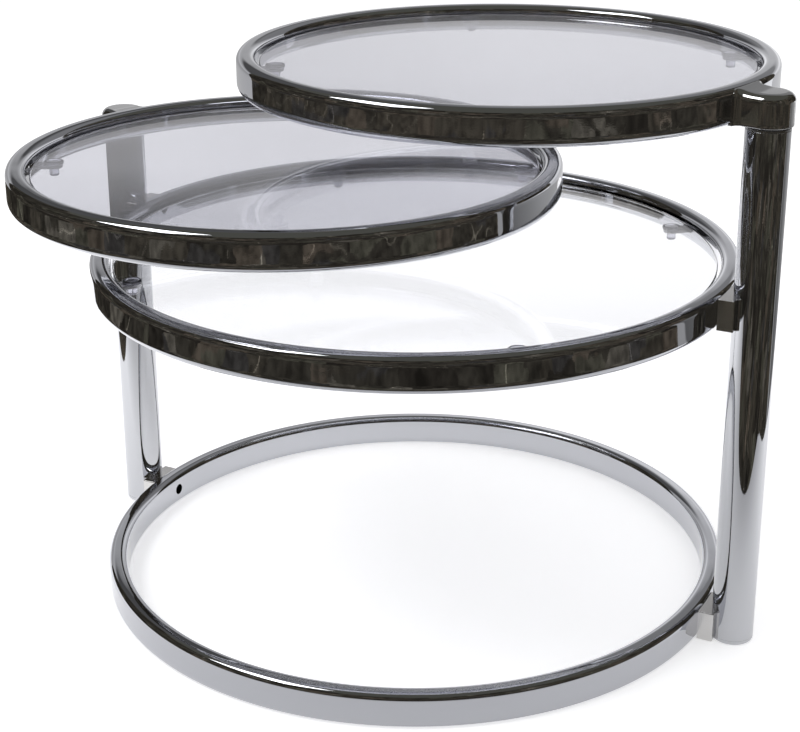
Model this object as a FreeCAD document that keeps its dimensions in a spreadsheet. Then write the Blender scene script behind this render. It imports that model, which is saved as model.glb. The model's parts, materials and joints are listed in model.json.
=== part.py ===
import FreeCAD, Part
import math
import os
import Sketcher

# Swivel table in millimetres, +Z up. The origin is on the floor, at the centre of the base ring.
# Two posts stand on the X axis: the short one at -X carries the left tray, the tall one at +X the right tray.

# Driving sizes: name, value, what it measures. Every one is a length in millimetres.
SIZES = (
    ("ring_radius", 250.0, "outer radius of the base ring and the shelf ring"),
    ("tray_radius", 204.0, "outer radius of the two swivel tray rings"),
    ("tube_depth", 14.5, "radial depth of the flat-oval ring tube"),
    ("tube_height", 27.0, "height of the flat-oval ring tube"),
    ("tube_corner", 5.4, "outer corner radius of the ring tube"),
    ("tube_wall", 1.5, "wall of the ring tube"),
    ("post_radius", 16.0, "outer radius of a post"),
    ("post_wall", 2.0, "wall of a post"),
    ("post_gap", 6.0, "space between a fixed ring and a post"),
    ("lower_space", 224.0, "clear height between base ring and shelf ring"),
    ("middle_space", 54.0, "clear height between shelf ring and left tray"),
    ("upper_space", 41.0, "clear height between left tray and right tray"),
    ("block_width", 34.0, "width of a spacer block across the post"),
    ("block_length", 11.5, "length of a spacer block from the ring to its flat end"),
    ("block_drop", 3.0, "how far a block stays below the top of its ring"),
    ("block_edge", 0.8, "rounding of a block's edges"),
    ("screw_radius", 2.5, "radius of a block screw"),
    ("screw_head_radius", 4.25, "radius of a block screw's head"),
    ("screw_head_height", 5.0, "height of a block screw's head"),
    ("screw_length", 16.0, "length of a block screw under its head"),
    ("screw_tip", 0.6, "chamfer at a block screw's tip"),
    ("hex_radius", 2.3, "corner radius of the hexagon socket in a screw head"),
    ("hex_depth", 2.5, "depth of the hexagon socket in a screw head"),
    ("screw_clearance", 0.2, "radial clearance of a block screw in block and tube"),
    ("access_clearance", 0.35, "radial clearance of a screw head in its access hole"),
    ("seat_clearance", 0.05, "clearance under a flat screw head in the curved tube"),
    ("nut_width", 16.0, "width of the half-round nut inside a post"),
    ("nut_height", 14.0, "height of the half-round nut inside a post"),
    ("nut_thickness", 6.5, "thickness of the half-round nut inside a post"),
    ("foot_height", 4.0, "visible height of a foot plug"),
    ("foot_round", 2.6, "rounding of a foot plug's lower edge"),
    ("foot_spigot", 22.0, "height of the part of a foot plug inside the post"),
    ("foot_bore_depth", 10.5, "depth of the threaded hole in a foot plug"),
    ("hub_rim", 1.4, "how far a hub stands out past its post"),
    ("hub_bite", 1.4, "how far the round of a hub reaches into the tray ring"),
    ("hub_lift", 0.5, "height of a hub's underside above its ring's underside"),
    ("hub_drop", 3.0, "how far a hub's end stays below the top of its ring"),
    ("hub_sweep", 60.0, "radius of the hollow in which a hub's top rises to its ring's top"),
    ("hub_edge", 6.0, "rounding of a hub's upper edge"),
    ("hub_flare", 5.0, "radius of the hollow flare where a hub meets its ring"),
    ("hub_sink", 0.15, "how far inside its ring's surface a hub's flare ends"),
    ("hub_bore_depth", 15.0, "depth of the pin hole in a hub"),
    ("pin_radius", 6.0, "radius of a pivot pin"),
    ("pin_chamfer", 1.0, "chamfer at the lower end of a pivot pin"),
    ("pin_end", 3.5, "length of a pivot pin below its retaining ring"),
    ("running_gap", 0.05, "radial clearance of a pivot pin in its bushes"),
    ("bush_wall", 1.6, "wall of a pivot bush"),
    ("bush_length", 14.0, "length of a pivot bush"),
    ("nut_clearance", 4.25, "space between the shelf ring's nut and the pivot pin above it in the left post"),
    ("sleeve_flange", 1.6, "thickness of the pivot sleeve's flange on the post"),
    ("washer_thickness", 1.0, "thickness of the thrust washer under a hub"),
    ("washer_inset", 0.6, "how far a thrust washer stays inside the post's outline"),
    ("lift_gap", 0.25, "vertical running gap between a hub and its washer"),
    ("clip_thickness", 1.2, "thickness of a retaining ring"),
    ("clip_radius", 9.5, "outer radius of a retaining ring"),
    ("clip_depth", 1.2, "depth of the retaining ring's groove in the pin"),
    ("clip_opening", 6.0, "width of the opening in a retaining ring"),
    ("clip_gap", 0.3, "vertical running gap between a retaining ring and the sleeve"),
    ("glass_thickness", 6.0, "thickness of a glass disc"),
    ("glass_gap", 2.5, "gap between a glass disc and its ring"),
    ("glass_drop", 7.0, "how far a glass disc stays below the top of its ring"),
    ("glass_edge", 0.9, "polished chamfer of a glass disc"),
    ("tab_inset", 14.5, "distance of a glass support from the ring's inner wall"),
    ("tab_radius", 6.5, "half width and end radius of a support tab"),
    ("tab_thickness", 2.5, "thickness of a support tab"),
    ("bumper_radius", 7.5, "radius of a glass bumper's head"),
    ("bumper_head", 2.5, "thickness of a glass bumper's head"),
    ("bumper_round", 0.8, "rounding of a glass bumper's head"),
    ("stem_radius", 3.0, "radius of a bumper's stem in its tab"),
    ("stem_bead", 3.6, "radius of a bumper's stem below its tab"),
    ("stem_length", 6.0, "length of a bumper's stem below its tab"),
    ("stem_round", 1.0, "rounding of the end of a bumper's stem"),
    ("drain_radius", 2.0, "radius of the drain hole in a tray ring"),
    ("overrun", 1.0, "how far a cutting tool runs past what it cuts"),
)

# Angles in degrees, as the photographed table stands
LEFT_SWING = -21.0
RIGHT_SWING = -11.2
FIRST_SUPPORT = 45.0

# Sizes that follow from the driving ones, as expressions in their names
RING_INNER = "(Sizes.ring_radius - Sizes.tube_depth)"
TRAY_INNER = "(Sizes.tray_radius - Sizes.tube_depth)"
POST_INNER = "(Sizes.post_radius - Sizes.post_wall)"
POST_OFFSET = "(Sizes.ring_radius + Sizes.post_gap + Sizes.post_radius)"
SHELF_LEVEL = "(Sizes.tube_height + Sizes.lower_space)"
LEFT_LEVEL = f"({SHELF_LEVEL} + Sizes.tube_height + Sizes.middle_space)"
RIGHT_LEVEL = f"({LEFT_LEVEL} + Sizes.tube_height + Sizes.upper_space)"
TUBE_MIDDLE = "(Sizes.tube_height / 2)"
HUB_RADIUS = "(Sizes.post_radius + Sizes.hub_rim)"
FLARE_END = "(Sizes.tray_radius - Sizes.hub_sink)"
HUB_TOP = "(Sizes.tube_height - Sizes.hub_drop)"
ARM_REACH = f"(Sizes.tray_radius + {HUB_RADIUS} - Sizes.hub_bite)"
BLOCK_HEIGHT = "(Sizes.tube_height - Sizes.block_drop)"
SCREW_HOLE = "(Sizes.screw_radius + Sizes.screw_clearance)"
SCREW_SEAT = "(Sizes.ring_radius - Sizes.tube_wall - Sizes.seat_clearance)"
BUSH_BORE = "(Sizes.pin_radius + Sizes.running_gap)"
BUSH_RADIUS = f"({BUSH_BORE} + Sizes.bush_wall)"
UNDER_HUB = "(Sizes.hub_lift - Sizes.lift_gap - Sizes.washer_thickness)"
POST_TOP_BELOW_TRAY = f"({UNDER_HUB} - Sizes.sleeve_flange)"
NUT_TOP = f"({SHELF_LEVEL} + {TUBE_MIDDLE} + Sizes.nut_height / 2)"
BELOW_SLEEVE = "(Sizes.clip_gap + Sizes.clip_thickness + Sizes.pin_end)"
SLEEVE_LENGTH = (f"({LEFT_LEVEL} + {POST_TOP_BELOW_TRAY} - {BELOW_SLEEVE}"
                 f" - Sizes.nut_clearance - {NUT_TOP})")
GLASS_SEAT = "(Sizes.tube_height - Sizes.glass_drop - Sizes.glass_thickness)"
TAB_TOP = f"({GLASS_SEAT} - Sizes.bumper_head)"
STEM_END = f"({TAB_TOP} - Sizes.tab_thickness - Sizes.stem_length)"

doc = FreeCAD.newDocument("SwivelTable")
sheet = doc.addObject("Spreadsheet::Sheet", "Sizes")
for row, (alias, value, meaning) in enumerate(SIZES, start=1):
    sheet.set(f"A{row}", meaning)
    sheet.set(f"B{row}", str(value))
    sheet.setAlias(f"B{row}", alias)
doc.recompute()


def number(expression):
    """The value of an expression in the sheet's names."""
    return float(sheet.evalExpression(str(expression)))


def bind(item, **expressions):
    """Ties properties of an object to expressions in the sheet's names."""
    for name, expression in expressions.items():
        item.setExpression(name, expression)


def place(item, x="0", y="0", z="0", turn=0.0):
    """Ties an object's place to expressions and turns it about its own Z axis."""
    item.Placement = FreeCAD.Placement(FreeCAD.Vector(), FreeCAD.Rotation(FreeCAD.Vector(0, 0, 1), turn))
    for letter, expression in zip("xyz", (x, y, z)):
        item.setExpression(f"Placement.Base.{letter}", expression)


def body(label):
    item = doc.addObject("PartDesign::Body", label)
    item.Label = label
    return item


def solid(owner, kind, tip, **expressions):
    """Adds a primitive to a body, such as AdditiveBox, sized by expressions."""
    item = owner.newObject(f"PartDesign::{kind}", f"{owner.Name}_{tip}")
    bind(item, **expressions)
    return item


def at_post(item, side, z):
    """Stands a piece on a post's axis. A piece is drawn with the table's middle towards -X."""
    place(item, x=f"{side} * {POST_OFFSET}", z=z, turn=0.0 if side > 0 else 180.0)


def tray_place(item, side, level, turn=0.0):
    """Puts a piece that is drawn about its tray's centre, hub towards -X, where the swung tray stands."""
    swing = LEFT_SWING if side < 0 else RIGHT_SWING
    x = f"{side} * ({POST_OFFSET} - {ARM_REACH} * cos({swing}))"
    y = f"{-side} * {ARM_REACH} * sin({swing})"
    heading = swing if side < 0 else swing + 180
    place(item, x=x, y=y, z=level, turn=heading + turn)


def repeat(owner, count):
    """Repeats a whole body about its Z axis."""
    axis = next(item for item in owner.Origin.OriginFeatures if item.Role == "Z_Axis")
    pattern = owner.newObject("PartDesign::PolarPattern", f"{owner.Name}_pattern")
    pattern.TransformMode = "Whole shape"
    pattern.Axis = (axis, [""])
    pattern.Angle = 360
    pattern.Occurrences = count
    owner.Tip = pattern


def along_x(item, x="0", y="0", z="0"):
    """Lays a cylinder or prism along +X from a start point."""
    item.Placement = FreeCAD.Placement(FreeCAD.Vector(), FreeCAD.Rotation(FreeCAD.Vector(0, 1, 0), 90))
    for letter, expression in zip("xyz", (x, y, z)):
        item.setExpression(f"Placement.Base.{letter}", expression)


def dress(owner, kind, tip, expression, edges=None):
    """Rounds or chamfers named edges of a body's last feature, or all of them."""
    last = owner.Tip
    item = owner.newObject(f"PartDesign::{kind}", f"{owner.Name}_{tip}")
    item.Base = (last, edges or [""])
    item.UseAllEdges = edges is None
    item.setExpression("Radius" if kind == "Fillet" else "Size", expression)
    return item


def rims_at(item, height):
    """Names of the round edges of a feature that lie at a height, given in the sheet's names."""
    doc.recompute()
    level = number(height)
    near = number("Sizes.overrun") / 100
    found = []
    for index, edge in enumerate(item.Shape.Edges, start=1):
        if edge.Closed and abs(edge.CenterOfMass.z - level) < near:
            found.append(f"Edge{index}")
    return found


def sketch_on(owner, role, name):
    """A sketch on one of a body's own origin planes."""
    plane = next(item for item in owner.Origin.OriginFeatures if item.Role == role)
    item = owner.newObject("Sketcher::SketchObject", f"{owner.Name}_{name}")
    item.AttachmentSupport = [(plane, "")]
    item.MapMode = "FlatFace"
    return item


def dimension(sketch, kind, *where, to, name):
    """A driving dimension of a sketch, tied to an expression."""
    sketch.addConstraint(Sketcher.Constraint(kind, *where, number(to)))
    sketch.renameConstraint(sketch.ConstraintCount - 1, name)
    sketch.setExpression(f"Constraints.{name}", to)


def arc(x, y, radius, start, end):
    circle = Part.Circle(FreeCAD.Vector(x, y, 0), FreeCAD.Vector(0, 0, 1), radius)
    return Part.ArcOfCircle(circle, start, end)


def line(start, end):
    return Part.LineSegment(FreeCAD.Vector(*start, 0), FreeCAD.Vector(*end, 0))


def tube_outline(sketch, left, low, width, height, corner):
    """The flat-oval section of a ring tube: four sides joined by four round corners."""
    x, y, w, t, r = (number(size) for size in (left, low, width, height, corner))
    quarter = math.pi / 2
    sketch.addGeometry([
        line((x + r, y), (x + w - r, y)),
        arc(x + w - r, y + r, r, -quarter, 0),
        line((x + w, y + r), (x + w, y + t - r)),
        arc(x + w - r, y + t - r, r, 0, quarter),
        line((x + w - r, y + t), (x + r, y + t)),
        arc(x + r, y + t - r, r, quarter, 2 * quarter),
        line((x, y + t - r), (x, y + r)),
        arc(x + r, y + r, r, 2 * quarter, 3 * quarter),
    ], False)
    for side in range(8):
        sketch.addConstraint(Sketcher.Constraint("Tangent", side, 2, (side + 1) % 8, 1))
    for side, kind in ((0, "Horizontal"), (4, "Horizontal"), (2, "Vertical"), (6, "Vertical")):
        sketch.addConstraint(Sketcher.Constraint(kind, side))
    for other in (3, 5, 7):
        sketch.addConstraint(Sketcher.Constraint("Equal", 1, other))
    dimension(sketch, "Radius", 1, to=corner, name="Corner")
    dimension(sketch, "DistanceX", 6, 2, 2, 1, to=width, name="Depth")
    dimension(sketch, "DistanceY", 0, 1, 4, 2, to=height, name="Height")
    dimension(sketch, "DistanceX", -1, 1, 6, 2, to=left, name="FromAxis")
    if low == "0":
        sketch.addConstraint(Sketcher.Constraint("PointOnObject", 0, 1, -1))
    else:
        dimension(sketch, "DistanceY", -1, 1, 0, 1, to=low, name="AboveBase")


def ring_tube(label, radius):
    """A hollow ring bent from flat-oval tube, about its own Z axis."""
    ring = body(label)
    outside = sketch_on(ring, "XZ_Plane", "outside")
    inner = f"({radius} - Sizes.tube_depth)"
    tube_outline(outside, inner, "0", "Sizes.tube_depth", "Sizes.tube_height", "Sizes.tube_corner")
    turned = ring.newObject("PartDesign::Revolution", f"{label}_turned")
    turned.Profile = outside
    turned.ReferenceAxis = (outside, ["V_Axis"])
    turned.Angle = 360
    inside = sketch_on(ring, "XZ_Plane", "inside")
    tube_outline(
        inside,
        f"{inner} + Sizes.tube_wall",
        "Sizes.tube_wall",
        "Sizes.tube_depth - 2 * Sizes.tube_wall",
        "Sizes.tube_height - 2 * Sizes.tube_wall",
        "Sizes.tube_corner - Sizes.tube_wall",
    )
    hollow = ring.newObject("PartDesign::Groove", f"{label}_hollow")
    hollow.Profile = inside
    hollow.ReferenceAxis = (inside, ["V_Axis"])
    hollow.Angle = 360
    return ring


def fixed_ring(label, level):
    """A ring held by blocks: each side has an access hole inside and a screw hole outside."""
    ring = ring_tube(label, "Sizes.ring_radius")
    half = f"({RING_INNER} + Sizes.tube_depth / 2)"
    reach = "(Sizes.ring_radius + Sizes.overrun)"
    access = "Sizes.screw_head_radius + Sizes.access_clearance"
    for name, radius, end in (("access", access, half), ("screw_holes", SCREW_HOLE, reach)):
        hole = solid(ring, "SubtractiveCylinder", name, Radius=radius, Height=f"2 * {end}")
        along_x(hole, x=f"-{end}", z=TUBE_MIDDLE)
    place(ring, z=level)
    return ring


def tray_ring(label):
    """A swivel tray's ring, with a drain hole in its underside away from the hub."""
    ring = ring_tube(label, "Sizes.tray_radius")
    drain = solid(ring, "SubtractiveCylinder", "drain", Radius="Sizes.drain_radius",
                  Height="Sizes.overrun + 2 * Sizes.tube_wall")
    place(drain, x=f"{TRAY_INNER} + Sizes.tube_depth / 2", z="-Sizes.overrun")
    return ring


def post(label, side, top):
    """A round tube with a screw hole on its inner side at each fixed ring."""
    tube = body(label)
    length = f"({top} - Sizes.foot_height)"
    solid(tube, "AdditiveCylinder", "outside", Radius="Sizes.post_radius", Height=length)
    bore = solid(tube, "SubtractiveCylinder", "bore", Radius=POST_INNER,
                 Height=f"{length} + 2 * Sizes.overrun")
    place(bore, z="-Sizes.overrun")
    for name, level in (("base", "0"), ("shelf", SHELF_LEVEL)):
        hole = solid(tube, "SubtractiveCylinder", f"{name}_hole", Radius=SCREW_HOLE,
                     Height="Sizes.post_radius + Sizes.overrun")
        along_x(hole, x="-Sizes.post_radius - Sizes.overrun",
                z=f"{level} + {TUBE_MIDDLE} - Sizes.foot_height")
    at_post(tube, side, "Sizes.foot_height")
    return tube


def block(label, side, level):
    """A spacer coped to its ring and its post, with a hole for the screw."""
    bar = body(label)
    start = f"({RING_INNER} + Sizes.tube_depth / 2)"
    base = solid(bar, "AdditiveBox", "bar", Length=f"Sizes.ring_radius + Sizes.block_length - {start}",
                 Width="Sizes.block_width", Height=BLOCK_HEIGHT)
    place(base, x=start, y="-Sizes.block_width / 2")
    dress(bar, "Fillet", "edges", "Sizes.block_edge")
    deep = f"{BLOCK_HEIGHT} + 2 * Sizes.overrun"
    cope = solid(bar, "SubtractiveCylinder", "ring_cope", Radius="Sizes.ring_radius", Height=deep)
    place(cope, z="-Sizes.overrun")
    cope = solid(bar, "SubtractiveCylinder", "post_cope", Radius="Sizes.post_radius", Height=deep)
    place(cope, x=POST_OFFSET, z="-Sizes.overrun")
    hole = solid(bar, "SubtractiveCylinder", "screw_hole", Radius=SCREW_HOLE, Height=POST_OFFSET)
    along_x(hole, z=TUBE_MIDDLE)
    place(bar, z=level, turn=0.0 if side > 0 else 180.0)
    return bar


def block_screws(label, level):
    """Two socket-head screws, each from inside a ring through ring, block and post wall."""
    screws = body(label)
    under = f"({SCREW_SEAT} + Sizes.screw_length - Sizes.screw_tip)"
    head_start = f"({SCREW_SEAT} - Sizes.screw_head_height)"
    head = solid(screws, "AdditiveCylinder", "head", Radius="Sizes.screw_head_radius",
                 Height="Sizes.screw_head_height")
    along_x(head, x=head_start, z=TUBE_MIDDLE)
    shank = solid(screws, "AdditiveCylinder", "shank", Radius="Sizes.screw_radius",
                  Height="Sizes.screw_length - Sizes.screw_tip")
    along_x(shank, x=SCREW_SEAT, z=TUBE_MIDDLE)
    point = solid(screws, "AdditiveCone", "point", Radius1="Sizes.screw_radius",
                  Radius2="Sizes.screw_radius - Sizes.screw_tip", Height="Sizes.screw_tip")
    along_x(point, x=under, z=TUBE_MIDDLE)
    socket = solid(screws, "SubtractivePrism", "socket", Circumradius="Sizes.hex_radius",
                   Height="Sizes.hex_depth")
    socket.Polygon = 6
    along_x(socket, x=head_start, z=TUBE_MIDDLE)
    repeat(screws, 2)
    place(screws, z=level)
    return screws


def shelf_nut(label, side):
    """A half-round nut against the inside of a post, at the shelf ring's screw."""
    nut = body(label)
    tall = "Sizes.nut_height + 2 * Sizes.overrun"
    solid(nut, "AdditiveCylinder", "round", Radius=POST_INNER, Height="Sizes.nut_height")
    across = "2 * Sizes.post_radius"
    for name, x, y in (
        ("back", "Sizes.nut_thickness - Sizes.post_radius + Sizes.post_wall", "-Sizes.post_radius"),
        ("near_side", "-Sizes.post_radius", "Sizes.nut_width / 2"),
        ("far_side", "-Sizes.post_radius", f"-Sizes.nut_width / 2 - {across}"),
    ):
        cut = solid(nut, "SubtractiveBox", name, Length=across, Width=across, Height=tall)
        place(cut, x=x, y=y, z="-Sizes.overrun")
    thread = solid(nut, "SubtractiveCylinder", "thread", Radius="Sizes.screw_radius",
                   Height="Sizes.post_radius")
    along_x(thread, x="-Sizes.post_radius", z="Sizes.nut_height / 2")
    at_post(nut, side, f"{SHELF_LEVEL} + {TUBE_MIDDLE} - Sizes.nut_height / 2")
    return nut


def foot_plug(label, side):
    """The turned plug that closes a post's lower end and takes the base ring's screw."""
    plug = body(label)
    foot = solid(plug, "AdditiveCylinder", "foot", Radius="Sizes.post_radius", Height="Sizes.foot_height")
    dress(plug, "Fillet", "sole_edge", "Sizes.foot_round", rims_at(foot, "0"))
    spigot = solid(plug, "AdditiveCylinder", "spigot", Radius=POST_INNER, Height="Sizes.foot_spigot")
    place(spigot, z="Sizes.foot_height")
    thread = solid(plug, "SubtractiveCylinder", "thread", Radius="Sizes.screw_radius",
                   Height="Sizes.foot_bore_depth + Sizes.overrun")
    along_x(thread, x=f"-{POST_INNER} - Sizes.overrun", z=TUBE_MIDDLE)
    at_post(plug, side, "0")
    return plug


def hub_outline(sketch):
    """A round end about the pivot, straight sides and hollow flares that run into the ring at a low angle."""
    reach, ring, end, flare = (
        number(size) for size in (ARM_REACH, FLARE_END, HUB_RADIUS, "Sizes.hub_flare"))
    inner = number(f"{TRAY_INNER} + Sizes.tube_depth / 2")
    flare_x = -math.sqrt((ring + flare) ** 2 - (end + flare) ** 2)
    touch_x, touch_y = (value * ring / (ring + flare) for value in (flare_x, end + flare))
    lean = math.atan2(end + flare - touch_y, touch_x - flare_x)
    quarter = math.pi / 2
    sketch.addGeometry([
        line((flare_x, end), (-reach, end)),
        arc(-reach, 0, end, quarter, 3 * quarter),
        line((-reach, -end), (flare_x, -end)),
        arc(flare_x, -end - flare, flare, lean, quarter),
        line((touch_x, -touch_y), (-inner, -touch_y)),
        line((-inner, -touch_y), (-inner, touch_y)),
        line((-inner, touch_y), (touch_x, touch_y)),
        arc(flare_x, end + flare, flare, -quarter, -lean),
    ], False)
    sketch.addGeometry(Part.Circle(FreeCAD.Vector(0, 0, 0), FreeCAD.Vector(0, 0, 1), ring), True)
    rules = (
        ("Horizontal", 0), ("Horizontal", 2), ("Horizontal", 4), ("Horizontal", 6), ("Vertical", 5),
        ("Tangent", 0, 2, 1, 1), ("Tangent", 1, 2, 2, 1), ("Tangent", 2, 2, 3, 2), ("Tangent", 7, 1, 0, 1),
        ("Coincident", 8, 3, -1, 1), ("Tangent", 7, 2, 8), ("Tangent", 3, 1, 8),
        ("Coincident", 3, 1, 4, 1), ("Coincident", 4, 2, 5, 1), ("Coincident", 5, 2, 6, 1),
        ("Coincident", 6, 2, 7, 2), ("PointOnObject", 1, 3, -1), ("Equal", 3, 7),
    )
    for rule in rules:
        sketch.addConstraint(Sketcher.Constraint(*rule))
    dimension(sketch, "Radius", 8, to=FLARE_END, name="FlareEnd")
    dimension(sketch, "Radius", 1, to=HUB_RADIUS, name="EndRadius")
    dimension(sketch, "Radius", 3, to="Sizes.hub_flare", name="FlareRadius")
    dimension(sketch, "DistanceX", 1, 3, -1, 1, to=ARM_REACH, name="Reach")
    dimension(sketch, "DistanceX", 5, 1, -1, 1, to=f"{TRAY_INNER} + Sizes.tube_depth / 2", name="InsideRing")


def hub_top(sketch):
    """What is cut off above a hub: level over its end, then rising in a hollow sweep to the ring's top."""
    past_end = f"{ARM_REACH} + {HUB_RADIUS} + Sizes.overrun"
    rise, sweep = number("Sizes.hub_drop"), number("Sizes.hub_sweep")
    start, top = number("Sizes.tray_radius - Sizes.tube_corner"), number(HUB_TOP)
    high, reach = number("Sizes.tube_height"), number(past_end)
    above = high + number("Sizes.overrun")
    run = math.sqrt(2 * sweep * rise - rise ** 2)
    foot = 3 * math.pi / 2
    sketch.addGeometry([
        arc(start + run, top + sweep, sweep, foot - math.asin(run / sweep), foot),
        line((start + run, top), (reach, top)),
        line((reach, top), (reach, above)),
        line((reach, above), (start, above)),
        line((start, above), (start, high)),
    ], False)
    rules = (
        ("Tangent", 0, 2, 1, 1), ("Coincident", 1, 2, 2, 1), ("Coincident", 2, 2, 3, 1),
        ("Coincident", 3, 2, 4, 1), ("Coincident", 4, 2, 0, 1),
        ("Horizontal", 1), ("Vertical", 2), ("Horizontal", 3), ("Vertical", 4),
    )
    for rule in rules:
        sketch.addConstraint(Sketcher.Constraint(*rule))
    dimension(sketch, "Radius", 0, to="Sizes.hub_sweep", name="Sweep")
    dimension(sketch, "DistanceY", -1, 1, 1, 1, to=HUB_TOP, name="EndLevel")
    dimension(sketch, "DistanceX", -1, 1, 0, 1, to="Sizes.tray_radius - Sizes.tube_corner", name="Start")
    dimension(sketch, "DistanceY", -1, 1, 0, 1, to="Sizes.tube_height", name="RingTop")
    dimension(sketch, "DistanceX", -1, 1, 1, 2, to=past_end, name="Reach")
    dimension(sketch, "DistanceY", 0, 1, 4, 1, to="Sizes.overrun", name="Above")


def upper_edges(block):
    """Names of a hub's upper edges outside its ring, without the seam where its sweep ends."""
    top, reach = number(HUB_TOP), number(ARM_REACH)
    ring = number("Sizes.tray_radius")
    near = number("Sizes.overrun") / 100
    found = []
    for index, edge in enumerate(block.Shape.Edges, start=1):
        middle = edge.CenterOfMass
        outside = math.hypot(middle.x, middle.y) > ring
        on_outline = abs(middle.y) > near or middle.x < -reach
        if middle.z > top - near and outside and on_outline:
            found.append(f"Edge{index}")
    return found


def hub(label, side, level):
    """The cast hub that joins a tray ring to its pivot pin."""
    cast = body(label)
    outline = sketch_on(cast, "XY_Plane", "outline")
    hub_outline(outline)
    outline.setExpression("AttachmentOffset.Base.z", "Sizes.hub_lift")
    pad = cast.newObject("PartDesign::Pad", f"{label}_pad")
    pad.Profile = outline
    bind(pad, Length="Sizes.tube_height - Sizes.hub_lift")
    above = sketch_on(cast, "XZ_Plane", "above")
    hub_top(above)
    swept = cast.newObject("PartDesign::Groove", f"{label}_swept")
    swept.Profile = above
    swept.ReferenceAxis = (above, ["V_Axis"])
    swept.Angle = 360
    doc.recompute()
    dress(cast, "Fillet", "upper_edge", "Sizes.hub_edge", upper_edges(swept))
    section = sketch_on(cast, "XZ_Plane", "ring_section")
    tube_outline(section, TRAY_INNER, "0", "Sizes.tube_depth", "Sizes.tube_height", "Sizes.tube_corner")
    cope = cast.newObject("PartDesign::Groove", f"{label}_cope")
    cope.Profile = section
    cope.ReferenceAxis = (section, ["V_Axis"])
    cope.Angle = 360
    bore = solid(cast, "SubtractiveCylinder", "pin_bore", Radius="Sizes.pin_radius",
                 Height="Sizes.hub_bore_depth + Sizes.overrun")
    place(bore, x=f"-{ARM_REACH}", z="Sizes.hub_lift - Sizes.overrun")
    tray_place(cast, side, level)
    return cast


def ring_of(label, outer, bore, height):
    """A plain round piece with a hole through it, such as a bush or a washer."""
    piece = body(label)
    solid(piece, "AdditiveCylinder", "outside", Radius=outer, Height=height)
    hole = solid(piece, "SubtractiveCylinder", "bore", Radius=bore, Height=f"{height} + 2 * Sizes.overrun")
    place(hole, z="-Sizes.overrun")
    return piece


def pivot(name, side, level):
    """What is inside a post's top: sleeve, two bushes and a washer on the post, pin and clip on the tray."""
    flange_top = f"({level} + {UNDER_HUB})"
    sleeve_end = f"({flange_top} - Sizes.sleeve_flange - {SLEEVE_LENGTH})"
    sleeve = body(f"{name}_pivot_sleeve")
    solid(sleeve, "AdditiveCylinder", "barrel", Radius=POST_INNER, Height=SLEEVE_LENGTH)
    flange = solid(sleeve, "AdditiveCylinder", "flange", Radius="Sizes.post_radius",
                   Height="Sizes.sleeve_flange")
    place(flange, z=SLEEVE_LENGTH)
    bore = solid(sleeve, "SubtractiveCylinder", "bore", Radius=BUSH_RADIUS,
                 Height=f"{SLEEVE_LENGTH} + Sizes.sleeve_flange + 2 * Sizes.overrun")
    place(bore, z="-Sizes.overrun")
    at_post(sleeve, side, sleeve_end)

    upper = ring_of(f"{name}_upper_bush", BUSH_RADIUS, BUSH_BORE, "Sizes.bush_length")
    at_post(upper, side, f"{flange_top} - Sizes.bush_length")
    lower = ring_of(f"{name}_lower_bush", BUSH_RADIUS, BUSH_BORE, "Sizes.bush_length")
    at_post(lower, side, sleeve_end)
    washer = ring_of(f"{name}_thrust_washer", "Sizes.post_radius - Sizes.washer_inset", BUSH_BORE,
                     "Sizes.washer_thickness")
    at_post(washer, side, flange_top)

    clip_low = f"({sleeve_end} - Sizes.clip_gap - Sizes.clip_thickness)"
    neck = "(Sizes.pin_radius - Sizes.clip_depth)"
    clip = ring_of(f"{name}_retaining_ring", "Sizes.clip_radius", neck, "Sizes.clip_thickness")
    opening = solid(clip, "SubtractiveBox", "opening", Length="Sizes.clip_radius + Sizes.overrun",
                    Width="Sizes.clip_opening", Height="Sizes.clip_thickness + 2 * Sizes.overrun")
    place(opening, y="-Sizes.clip_opening / 2", z="-Sizes.overrun")
    at_post(clip, side, clip_low)

    pin = body(f"{name}_pivot_pin")
    tip = solid(pin, "AdditiveCone", "tip", Radius1="Sizes.pin_radius - Sizes.pin_chamfer",
                Radius2="Sizes.pin_radius", Height="Sizes.pin_chamfer")
    end = solid(pin, "AdditiveCylinder", "end", Radius="Sizes.pin_radius",
                Height="Sizes.pin_end - Sizes.pin_chamfer")
    place(end, z="Sizes.pin_chamfer")
    groove = solid(pin, "AdditiveCylinder", "groove", Radius=neck, Height="Sizes.clip_thickness")
    place(groove, z="Sizes.pin_end")
    start = "(Sizes.pin_end + Sizes.clip_thickness)"
    top = f"({level} + Sizes.hub_lift + Sizes.hub_bore_depth)"
    shank = solid(pin, "AdditiveCylinder", "shank", Radius="Sizes.pin_radius",
                  Height=f"{top} - {clip_low} + Sizes.pin_end - {start}")
    place(shank, z=start)
    at_post(pin, side, f"{clip_low} - Sizes.pin_end")
    return sleeve, upper, lower, washer, clip, pin


def glass(label, radius):
    """A glass disc with polished edges, drawn about its own centre."""
    disc = body(label)
    plate = solid(disc, "AdditiveCylinder", "plate", Radius=f"{radius} - Sizes.tube_depth - Sizes.glass_gap",
                  Height="Sizes.glass_thickness")
    dress(disc, "Chamfer", "edge", "Sizes.glass_edge",
          rims_at(plate, "0") + rims_at(plate, "Sizes.glass_thickness"))
    return disc


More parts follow.
